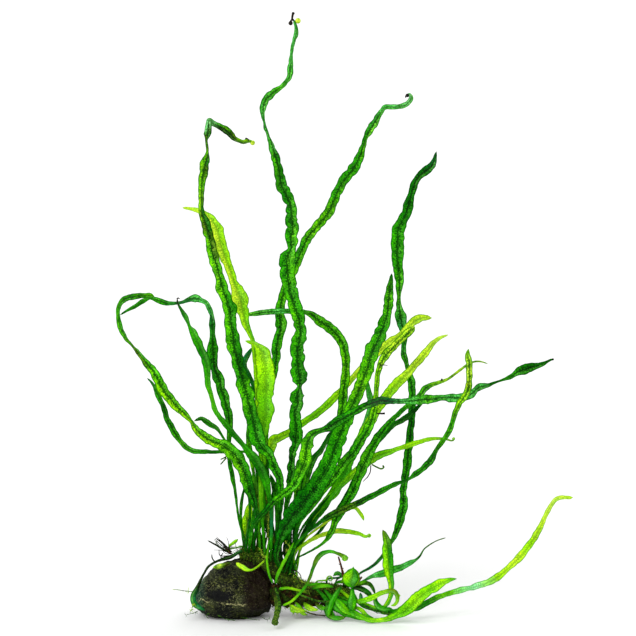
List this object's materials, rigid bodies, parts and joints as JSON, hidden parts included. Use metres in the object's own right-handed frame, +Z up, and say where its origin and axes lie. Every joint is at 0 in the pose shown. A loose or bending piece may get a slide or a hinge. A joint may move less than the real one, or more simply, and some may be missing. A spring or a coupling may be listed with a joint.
{
  "type": "aquarium fern on stone",
  "caption": "Narrow-leaf water fern with tall ribbon fronds and a creeping rhizome, grown over one dark stone with a flat underside.",
  "frame": {"origin": "middle of the stone's flat underside, on the surface that it rests on", "axes": "+Z up along the tall fronds, +X to the right towards the creeping rhizome and the low fronds, -Y towards the viewer"},
  "size_m": [0.2272, 0.145, 0.298],
  "materials": {
    "stone": "worn near-black brown stone with grey-olive specks and a thin pale vein, dull",
    "rhizome": "brown creeping stem with dark scales and olive growth, dull",
    "frond_green": "grown fern blade, deep green, mottled, dark midrib flanked by dots, soft sheen",
    "frond_lime": "young fern blade, bright lime, translucent, soft sheen",
    "frond_teal": "blade seen from its blue-green back, soft sheen",
    "frond_dark": "old blade, blackish green, mottled",
    "root": "wiry brown-black root, dull"
  },
  "bodies": {
    "root": {"stone": "stone", "rhizome": "rhizome", "rhizome_offshoot": "rhizome", "frond_tall_middle": "frond_green", "frond_high_hook": "frond_green", "frond_folded_tip": "frond_green", "frond_arch": "frond_green", "frond_broad_front": "frond_green", "frond_tall_back": "frond_green", "frond_dotted": "frond_green", "frond_bent_right": "frond_green", "frond_thread_tip": "frond_green", "frond_left_broad": "frond_green", "frond_left_tall": "frond_green", "frond_thin_foot": "frond_green", "leaf_folded": "frond_green", "leaf_crumpled": "frond_green", "leaf_round": "frond_green", "frond_lime_narrow": "frond_lime", "frond_lime_broad": "frond_lime", "frond_lime_right": "frond_lime", "frond_lime_long": "frond_lime", "frond_upturned": "frond_lime", "frond_lime_curl": "frond_lime", "frond_young_tip": "frond_lime", "frond_lime_low": "frond_lime", "frond_low_broad": "frond_lime", "frond_low_long": "frond_lime", "frond_upright_low": "frond_lime", "frond_loop": "frond_lime", "frond_left_straight": "frond_lime", "frond_left_low": "frond_lime", "frond_lime_foot": "frond_lime", "frond_dotted_foot": "frond_lime", "leaf_lime_tiny": "frond_lime", "crozier_large": "frond_lime", "crozier_small": "frond_lime", "stem_front_left": "frond_lime", "stem_front_right": "frond_lime", "stem_across": "frond_lime", "runner_lime": "frond_lime", "frond_teal_back": "frond_teal", "frond_teal_low": "frond_teal", "leaf_teal_small": "frond_teal", "stalk_old_left": "frond_teal", "frond_dark_short": "frond_dark", "frond_creased": "frond_dark", "frond_thin_dark": "frond_dark", "frond_left_small": "frond_dark", "leaf_dark_arch": "frond_dark", "leaf_dark_flat": "frond_dark", "stalk_mossy": "frond_dark", "stem_brown": "root", "leaf_dead_yellow": "root", "root_left_1": "root", "root_left_2": "root", "root_left_3": "root", "root_middle": "root", "root_ground": "root"}
  },
  "joints": []
}
